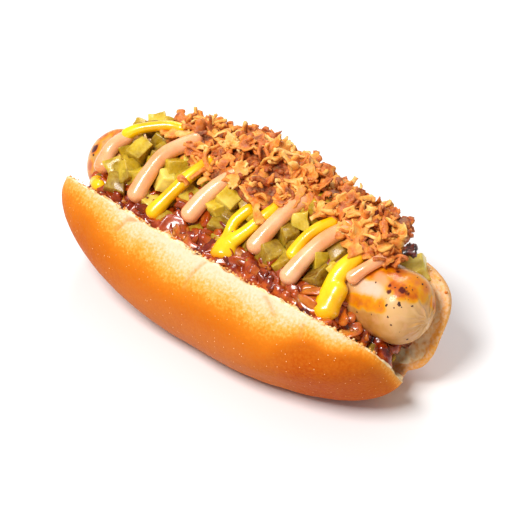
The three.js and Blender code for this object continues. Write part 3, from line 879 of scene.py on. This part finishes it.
def make_fried_onions(material, burnt_material):
    chance = random.Random(33)
    bm = bmesh.new()
    layer = bm.verts.layers.float.new("tint")
    for i in range(ONIONS):
        x = chance.uniform(-56, 67)
        near, far = along(ONION_NEAR, x), along(ONION_FAR, x)
        y = chance.uniform(near - 1.5, far) if i % 4 else far + chance.uniform(-3, 1.5)
        top = i >= ONIONS_BELOW
        depth = -0.3 if top else chance.choice((1.2, 2.6, 4))
        p = Vector((x, y, onion_top(x, y) - 0.8 - depth + chance.uniform(-0.6, 1)))
        kind = chance.choice(("flake", "flake", "flake", "string", "crumb", "crumb"))
        if min((p - q).cross(OPEN_SIDE).length - gap for q, gap in KEPT_CLEAR) < 0:
            continue
        # The pieces under the others get a darker tint: painted shade between the pieces.
        tint = clamp(chance.random() ** 1.15 + (0 if top else 0.25) + 0.15 * smooth(x, 40, 62))
        plate = FINE_PLATE if i >= ONIONS_COARSE else COARSE_PLATE
        onion_piece(bm, kind, p, chance, 0.7 if top else 1.2, layer, tint, plate)
    for place in STRAY_ONIONS:
        kind = chance.choice(("flake", "string"))
        onion_piece(bm, kind, Vector(place), chance, 0.4, layer, chance.uniform(0.1, 0.7))
    bm.normal_update()
    for v in bm.verts:
        v.co += v.normal * (0.12 * lumps(v.co, 1.5) + 0.36 * lumps(v.co, 2.8, 4))
    finished(new_object("fried_onion_flakes", bm), material, ["fried_onions"])

    bm = bmesh.new()
    for i in range(15):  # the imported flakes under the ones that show
        for j in range(5):
            x = mix(-48, 60, i / 14)
            y = mix(along(ONION_NEAR, x) + 3, along(ONION_FAR, x) - 5, j / 4)
            p = Vector((x, y, onion_top(x, y) - 6.8))
            if (p - PICKLE_AT_END).cross(OPEN_SIDE).length > 11:
                add_ball(bm, ROUND_BALL, p, (6, 5, 4.4))
    heart = fuse(closed("fried_onion_heart", bm), HEART_VOXEL, 1)
    for v in heart.data.vertices:
        v.co += v.normal * (0.9 * lumps(v.co, 3) + 0.4 * lumps(v.co, 1.6, 5))
    # The heart takes the darkest tint: painted shade in the gaps of the heap.
    set_attribute(heart, "tint", [1.0] * len(heart.data.vertices))
    finished(heart, material, ())

    bm = bmesh.new()
    layer = bm.verts.layers.float.new("tint")
    for place in BURNT_BITS:
        lie = random_lie(chance, 0.5, 3)
        onion_strip(bm, FINE_PLATE, Vector(place), chance, 5.2, 3.6, 1.6, lie, layer, 1)
    finished(new_object("burnt_onion_bits", bm), burnt_material, ())


# ---------- materials ----------
def rgb(red, green, blue):
    return tuple(
        c / 12.92 if c <= 0.04045 else ((c + 0.055) / 1.055) ** 2.4
        for c in (red / 255, green / 255, blue / 255)
    ) + (1.0,)


def plug(tree, socket, value):
    """Gives a socket a value, or another node's socket."""
    if isinstance(value, bpy.types.NodeSocket):
        tree.links.new(value, socket)
    else:
        socket.default_value = value


def add(tree, kind, settings=None, inputs=None):
    """A node, its settings, and its inputs as values or as other nodes' sockets."""
    made = tree.nodes.new(kind)
    for key, value in (settings or {}).items():
        setattr(made, key, value)
    for key, value in (inputs or {}).items():
        plug(tree, made.inputs[key], value)
    return made


def ramp(tree, fac, stops):
    """Colours by value. A stop is its position, then red, green and blue from 0 to 255."""
    made = add(tree, "ShaderNodeValToRGB", None, {"Fac": fac})
    elements = made.color_ramp.elements
    while len(elements) < len(stops):
        elements.new(0.5)
    for element, (position, *colour) in zip(elements, stops):
        element.position = position
        element.color = rgb(*colour)
    return made.outputs["Color"]


def blend_colour(tree, fac, a, b):
    made = add(tree, "ShaderNodeMix", {"data_type": "RGBA", "blend_type": "MIX"})
    for place, value in ((0, fac), (6, a), (7, b)):  # the colour sockets of this node go by place
        plug(tree, made.inputs[place], value)
    return made.outputs[2]


def maths(tree, operation, a, b=0.0, held=False):
    made = add(tree, "ShaderNodeMath", {"operation": operation, "use_clamp": held}, {0: a, 1: b})
    return made.outputs[0]


def shared_group(name, output, kind, **inputs):
    """A node group that reads a place and some numbers, and puts out one thing."""
    tree = bpy.data.node_groups.new(name, "ShaderNodeTree")
    tree.interface.new_socket("Vector", in_out="INPUT", socket_type="NodeSocketVector")
    for label, value in inputs.items():
        label = label.replace("_", " ")
        tree.interface.new_socket(
            label, in_out="INPUT", socket_type="NodeSocketFloat"
        ).default_value = value
    tree.interface.new_socket(output, in_out="OUTPUT", socket_type=kind)
    given, out = tree.nodes.new("NodeGroupInput"), tree.nodes.new("NodeGroupOutput")
    return tree, given.outputs, out.inputs[output]


def mottle_group():
    """Soft blotches: a value from 0 to 1 with its own contrast."""
    tree, given, out = shared_group(
        "Mottle", "Value", "NodeSocketFloat", Scale=100.0, Detail=3.0, Low=0.35, High=0.65
    )
    cloud = add(tree, "ShaderNodeTexNoise", None, {k: given[k] for k in ("Vector", "Scale", "Detail")})
    spread = add(
        tree, "ShaderNodeMapRange", None,
        {"Value": cloud.outputs["Fac"], "From Min": given["Low"], "From Max": given["High"]},
    )
    tree.links.new(spread.outputs["Result"], out)
    return tree


def speck_group():
    """Scattered small specks: a mask that is 1 on each speck."""
    tree, given, out = shared_group("Specks", "Mask", "NodeSocketFloat", Scale=300.0, Size=0.2, Share=0.3)
    cells = add(tree, "ShaderNodeTexVoronoi", None, {k: given[k] for k in ("Vector", "Scale")})
    parts = add(tree, "ShaderNodeSeparateColor", None, {"Color": cells.outputs["Color"]})
    chosen = maths(tree, "LESS_THAN", parts.outputs["Red"], given["Share"])
    near = maths(tree, "SUBTRACT", given["Size"], cells.outputs["Distance"])
    soft = maths(tree, "MULTIPLY", near, SPECK_SHARPNESS, True)
    tree.links.new(maths(tree, "MULTIPLY", chosen, soft), out)
    return tree


def relief_group():
    """Relief of two sizes as a normal."""
    tree, given, out = shared_group(
        "Relief", "Normal", "NodeSocketVector",
        Coarse=300.0, Fine=1500.0, Fine_Share=0.4, Strength=0.3, Depth=0.0006,
    )
    coarse, fine = [
        add(tree, "ShaderNodeTexNoise", None, {"Vector": given["Vector"], "Scale": given[k], "Detail": 3.0})
        .outputs["Fac"]
        for k in ("Coarse", "Fine")
    ]
    both = maths(tree, "ADD", coarse, maths(tree, "MULTIPLY", fine, given["Fine Share"]))
    bump = add(
        tree, "ShaderNodeBump", None,
        {"Height": both, "Strength": given["Strength"], "Distance": given["Depth"]},
    )
    tree.links.new(bump.outputs["Normal"], out)
    return tree


MOTTLE = mottle_group()
SPECKS = speck_group()
RELIEF = relief_group()


class Finish:
    """A material with its shader, its object coordinates and the shared effects."""

    def __init__(self, name, **constants):
        self.material = bpy.data.materials.new(name)
        self.material.use_nodes = True
        self.tree = self.material.node_tree
        self.shader = self.tree.nodes["Principled BSDF"]
        for key, value in constants.items():
            self.shader.inputs[key.replace("_", " ")].default_value = value
        self.here = add(self.tree, "ShaderNodeTexCoord").outputs["Object"]

    def attribute(self, name):
        return add(self.tree, "ShaderNodeAttribute", {"attribute_name": name}).outputs["Fac"]

    def effect(self, group, output, **inputs):
        made = add(self.tree, "ShaderNodeGroup", {"node_tree": group})
        self.tree.links.new(self.here, made.inputs["Vector"])
        for key, value in inputs.items():
            plug(self.tree, made.inputs[key.replace("_", " ")], value)
        return made.outputs[output]

    def mottle(self, **inputs):
        return self.effect(MOTTLE, "Value", **inputs)

    def specks(self, **inputs):
        return self.effect(SPECKS, "Mask", **inputs)

    def relief(self, **inputs):
        self.feed("Normal", self.effect(RELIEF, "Normal", **inputs))

    def feed(self, name, socket):
        self.tree.links.new(socket, self.shader.inputs[name])

    def roughen(self, least, value, reach):
        self.feed("Roughness", self.plus(least, self.times(value, reach)))

    def tinted(self, cloud, share):
        """A piece's own tint, clouded by a share."""
        tint = self.times(self.attribute("tint"), round(1 - share, 2))
        return self.plus(tint, self.times(cloud, share))

    def times(self, *arguments):
        return maths(self.tree, "MULTIPLY", *arguments)

    def plus(self, *arguments):
        return maths(self.tree, "ADD", *arguments)

    def minus(self, *arguments):
        return maths(self.tree, "SUBTRACT", *arguments)

    def mix(self, *arguments):
        return blend_colour(self.tree, *arguments)

    def ramp(self, *arguments):
        return ramp(self.tree, *arguments)


def scattering(weight, scale, radius):
    return dict(Subsurface_Weight=weight, Subsurface_Scale=scale, Subsurface_Radius=radius)


def swing(f, value, amount):
    """A value from 0 to 1 made a shift up and down by half the amount."""
    return f.times(f.minus(value, 0.5), amount)


def bun_finish():
    f = Finish("bun crust and crumb", **scattering(0.08, 0.002, (1.0, 0.5, 0.2)), Specular_IOR_Level=0.05)
    patches = f.mottle(Scale=60.0, Detail=2.0, Low=0.3, High=0.7)
    grain = f.mottle(Scale=900.0, Detail=4.0, Low=0.32, High=0.68)
    level = f.plus(f.attribute("browning"), swing(f, patches, 0.07))
    level = f.plus(level, swing(f, grain, 0.11))
    crust = f.ramp(level, (
        (0.06, 242, 205, 174), (0.15, 241, 192, 142), (0.21, 238, 170, 90),
        (0.27, 234, 152, 56), (0.33, 222, 122, 24), (0.42, 204, 101, 8), (0.55, 188, 86, 8),
        (0.7, 184, 76, 0), (0.95, 174, 60, 0),
    ))
    crust = f.mix(f.times(grain, 0.18), crust, rgb(246, 166, 50))
    # The underside tint: partly the crust's own colour, partly painted bounce light from the floor.
    crust = f.mix(f.times(f.attribute("under"), 0.5), crust, rgb(204, 122, 62))
    # Scattered pale specks on the browner crust: painted glints of light.
    flecks = f.times(f.specks(Scale=1100.0, Size=0.22, Share=0.08), f.attribute("browning"))
    crust = f.mix(f.times(flecks, 1.6, True), crust, rgb(255, 222, 160))
    # The creases are painted darker: painted shade in the creases of the crust.
    crust = f.mix(f.times(f.attribute("crease"), 0.6), crust, rgb(214, 142, 66))
    # The darker mottle of the crumb is painted shade in its pits.
    pits = f.mottle(Scale=420.0, Detail=4.0, Low=0.3, High=0.6)
    crumb = f.ramp(pits, ((0.0, 234, 176, 106), (0.5, 248, 208, 150), (1.0, 255, 234, 192)))
    # Darker crumb by the sausage: a sauce stain together with painted shade from the sausage.
    soaked = f.plus(f.attribute("soaked"), swing(f, patches, 0.4), True)
    crumb = f.mix(f.times(soaked, 0.3), crumb, rgb(226, 164, 96))
    edge = f.minus(f.times(f.attribute("crumb"), 2.0), 0.5)
    edge = f.plus(edge, swing(f, grain, 0.6), True)
    f.feed("Base Color", f.mix(edge, crust, crumb))
    f.roughen(0.5, edge, 0.35)
    f.relief(Coarse=260.0, Fine=1300.0, Fine_Share=0.8, Strength=0.4, Depth=0.0006)
    return f.material


def crumbs_finish():
    f = Finish("bun crumbs", Roughness=0.85, Specular_IOR_Level=0.3)
    f.feed("Base Color", f.ramp(f.attribute("tint"), (
        (0.1, 240, 204, 150), (0.5, 234, 168, 84), (0.9, 214, 110, 24),
    )))
    f.relief(Coarse=900.0, Fine=2600.0, Strength=0.5, Depth=0.0004)
    return f.material


def sausage_finish():
    f = Finish(
        "grilled sausage skin",
        **scattering(0.1, 0.003, (1.0, 0.6, 0.3)),
        Specular_IOR_Level=0.25,
        Coat_Weight=0.3,
        Coat_Roughness=0.12,
    )
    cloud = f.mottle(Scale=75.0, Detail=3.0, Low=0.35, High=0.65)
    fine = f.mottle(Scale=330.0, Detail=4.0, Low=0.3, High=0.7)
    skin = f.ramp(cloud, ((0.0, 186, 126, 54), (0.5, 206, 152, 86), (1.0, 220, 172, 112)))
    shift = swing(f, fine, 0.3)
    # Paler where the pale marks lie: a painted highlight on the skin.
    skin = f.mix(f.plus(f.attribute("pale"), shift, True), skin, rgb(232, 192, 166))
    grill = f.plus(f.plus(f.attribute("grill"), shift), swing(f, cloud, 0.35), True)
    tone = f.ramp(grill, (
        (0.3, 216, 162, 54), (0.5, 224, 154, 0), (0.75, 220, 130, 0), (1.0, 190, 84, 0),
    ))
    colour = f.mix(f.times(f.minus(grill, 0.25), 3.0, True), skin, tone)
    bare = f.times(f.plus(f.attribute("bare"), shift), 1.2, True)
    colour = f.mix(bare, colour, rgb(232, 156, 104))
    char = f.plus(f.attribute("char"), swing(f, fine, 0.8))
    char = f.times(f.minus(char, 0.4), 3.0, True)
    colour = f.mix(char, colour, rgb(86, 18, 6))
    f.feed("Base Color", colour)
    f.roughen(0.3, fine, 0.14)
    f.relief(Coarse=150.0, Fine=900.0, Fine_Share=0.3, Strength=0.22, Depth=0.0006)
    return f.material


def pepper_finish():
    f = Finish("cracked pepper", Roughness=0.6)
    cloud = f.mottle(Scale=900.0)
    f.feed("Base Color", f.ramp(cloud, ((0.2, 28, 10, 6), (0.8, 96, 44, 18))))
    f.relief(Coarse=1500.0, Fine=4000.0, Strength=0.5, Depth=0.0003)
    return f.material


def sauce_finish(name, deep, usual, pale, weight):
    f = Finish(name, **scattering(weight, 0.0018, (1.0, 0.6, 0.2)), Coat_Weight=0.5, Coat_Roughness=0.07)
    cloud = f.mottle(Scale=110.0, Detail=2.0, Low=0.3, High=0.7)
    f.feed("Base Color", f.ramp(cloud, ((0.0, *deep), (0.5, *usual), (1.0, *pale))))
    f.roughen(0.26, cloud, 0.08)
    f.relief(Coarse=120.0, Fine=600.0, Fine_Share=0.2, Strength=0.12, Depth=0.0006)
    return f.material


def pickle_finish():
    f = Finish(
        "diced pickle", **scattering(0.3, 0.002, (1.0, 0.8, 0.1)), Specular_IOR_Level=0.25, Coat_Weight=0.35,
        Coat_Roughness=0.12,
    )
    cloud = f.mottle(Scale=150.0, Detail=3.0, Low=0.3, High=0.7)
    fine = f.mottle(Scale=850.0, Detail=4.0, Low=0.35, High=0.65)
    level = f.tinted(cloud, 0.4)
    colour = f.ramp(level, (
        (0.1, 116, 72, 0), (0.35, 166, 128, 6), (0.6, 208, 172, 28), (0.95, 238, 216, 108),
    ))
    colour = f.mix(f.times(fine, 0.2), colour, rgb(240, 216, 110))
    f.feed("Base Color", colour)
    f.roughen(0.3, fine, 0.2)
    f.relief(Coarse=420.0, Fine=1500.0, Fine_Share=0.5, Strength=0.4, Depth=0.0006)
    return f.material


def jam_finish():
    f = Finish("onion jam", **scattering(0.2, 0.003, (1.0, 0.3, 0.1)), Coat_Weight=0.6, Coat_Roughness=0.08)
    cloud = f.mottle(Scale=170.0, Detail=3.0, Low=0.35, High=0.65)
    f.feed("Base Color", f.ramp(cloud, ((0.0, 84, 14, 0), (0.5, 138, 38, 4), (1.0, 190, 84, 18))))
    f.roughen(0.16, cloud, 0.15)
    f.relief(Coarse=300.0, Fine=1100.0, Fine_Share=0.25, Strength=0.3, Depth=0.0008)
    return f.material


def relish_onion_finish():
    f = Finish(
        "stewed onion", **scattering(0.4, 0.003, (1.0, 0.4, 0.12)), Coat_Weight=0.5, Coat_Roughness=0.1
    )
    cloud = f.mottle(Scale=220.0, Detail=3.0, Low=0.3, High=0.7)
    level = f.tinted(cloud, 0.35)
    colours = ((0.0, 112, 26, 2), (0.5, 174, 68, 10), (1.0, 220, 134, 44))
    f.feed("Base Color", f.ramp(level, colours))
    f.roughen(0.2, cloud, 0.12)
    f.relief(Coarse=260.0, Fine=1000.0, Fine_Share=0.3, Strength=0.25, Depth=0.0007)
    return f.material


def fried_onion_finish():
    f = Finish(
        "fried onion", **scattering(0.12, 0.0015, (1.0, 0.5, 0.2)), Specular_IOR_Level=0.3, Coat_Weight=0.08,
        Coat_Roughness=0.25,
    )
    cloud = f.mottle(Scale=230.0, Detail=3.0, Low=0.3, High=0.7)
    fine = f.mottle(Scale=1100.0, Detail=3.0, Low=0.3, High=0.7)
    level = f.tinted(cloud, 0.45)
    colour = f.ramp(level, (
        (0.0, 252, 206, 128), (0.25, 240, 164, 62), (0.5, 216, 108, 14), (0.75, 160, 50, 0),
        (1.0, 98, 22, 0),
    ))
    colour = f.mix(f.times(fine, 0.25), colour, rgb(246, 202, 128))
    f.feed("Base Color", colour)
    f.roughen(0.42, fine, 0.2)
    f.relief(Coarse=700.0, Fine=2200.0, Fine_Share=0.5, Strength=0.5, Depth=0.0006)
    return f.material


def burnt_onion_finish():
    f = Finish("burnt onion", Coat_Weight=0.4, Coat_Roughness=0.15)
    cloud = f.mottle(Scale=420.0)
    f.feed("Base Color", f.ramp(cloud, ((0.2, 24, 8, 6), (0.8, 92, 26, 10))))
    f.roughen(0.25, cloud, 0.2)
    f.relief(Coarse=600.0, Fine=1800.0, Strength=0.4, Depth=0.0006)
    return f.material


# ---------- the hot dog ----------
make_bun(bun_finish())
make_rim_crumbs(crumbs_finish())
make_sausage(sausage_finish(), pepper_finish())
make_relish(jam_finish(), relish_onion_finish())
make_pickles(pickle_finish())
mustard = sauce_finish("mustard", (246, 176, 0), (254, 200, 0), (255, 212, 10), 0.2)
pink = sauce_finish("pink sauce", (240, 156, 98), (247, 176, 124), (250, 190, 144), 0.25)
for i, stroke in enumerate(MUSTARD_STROKES):
    strokes = [stroke, *([MUSTARD_FORK] if i == FORKED_STROKE else []), *([WEBS[i]] if i in WEBS else [])]
    make_stroke(f"mustard_stroke_{i + 1}", strokes, MUSTARD_RADIUS, mustard, f"mustard_{i + 1}", i)
make_stroke("mustard_stroke_6", [MUSTARD_BLOB], MUSTARD_RADIUS, mustard, "mustard_6", 9)
for i, stroke in enumerate(PINK_STROKES):
    node = f"pink_sauce_{i + 1}"
    make_stroke(f"pink_stroke_{i + 1}", [stroke], PINK_RADIUS, pink, node, 20 + i)
make_fried_onions(fried_onion_finish(), burnt_onion_finish())


# ---------- floor, light and camera ----------
def make_floor():
    bm = bmesh.new()
    bmesh.ops.create_grid(bm, x_segments=1, y_segments=1, size=3)
    floor = new_object("floor", bm)
    f = Finish("pale floor", Roughness=0.9)
    f.shader.inputs["Base Color"].default_value = (0.86, 0.86, 0.86, 1)
    floor.data.materials.append(f.material)


CAMERA_AZIMUTH = math.radians(42.3)
CAMERA_ELEVATION = math.radians(39)
CAMERA_DISTANCE = 1.040
TARGET = (HINGE + Vector((0, 0, 16.5))) * MM


def towards(azimuth, elevation):
    flat = math.cos(elevation)
    return Vector((math.sin(azimuth) * flat, -math.cos(azimuth) * flat, math.sin(elevation)))


def make_camera():
    data = bpy.data.cameras.new("camera")
    data.lens = 188.4
    data.sensor_width = 36
    data.shift_x = 0.0043
    data.shift_y = 0.0219
    camera = bpy.data.objects.new("camera", data)
    back = towards(CAMERA_AZIMUTH, CAMERA_ELEVATION)
    camera.location = TARGET + back * CAMERA_DISTANCE
    camera.rotation_euler = back.to_track_quat("Z", "Y").to_euler()
    bpy.context.scene.collection.objects.link(camera)
    bpy.context.scene.camera = camera


def make_light(name, azimuth, elevation, distance, size, power):
    data = bpy.data.lights.new(name, "AREA")
    data.shape = "DISK"
    data.size = size
    data.energy = power
    light = bpy.data.objects.new(name, data)
    back = towards(math.radians(azimuth), math.radians(elevation))
    light.location = TARGET + back * distance
    light.rotation_euler = back.to_track_quat("Z", "Y").to_euler()
    bpy.context.scene.collection.objects.link(light)


make_floor()
make_camera()
make_light("key", 0, 58, 1.1, 0.45, 12.5)
make_light("back", 215, 45, 1.2, 0.6, 7)
world = bpy.data.worlds.new("studio")
world.use_nodes = True
world.node_tree.nodes["Background"].inputs["Color"].default_value = (1, 1, 1, 1)
world.node_tree.nodes["Background"].inputs["Strength"].default_value = 0.38
bpy.context.scene.world = world
bpy.context.scene.view_settings.view_transform = "Standard"
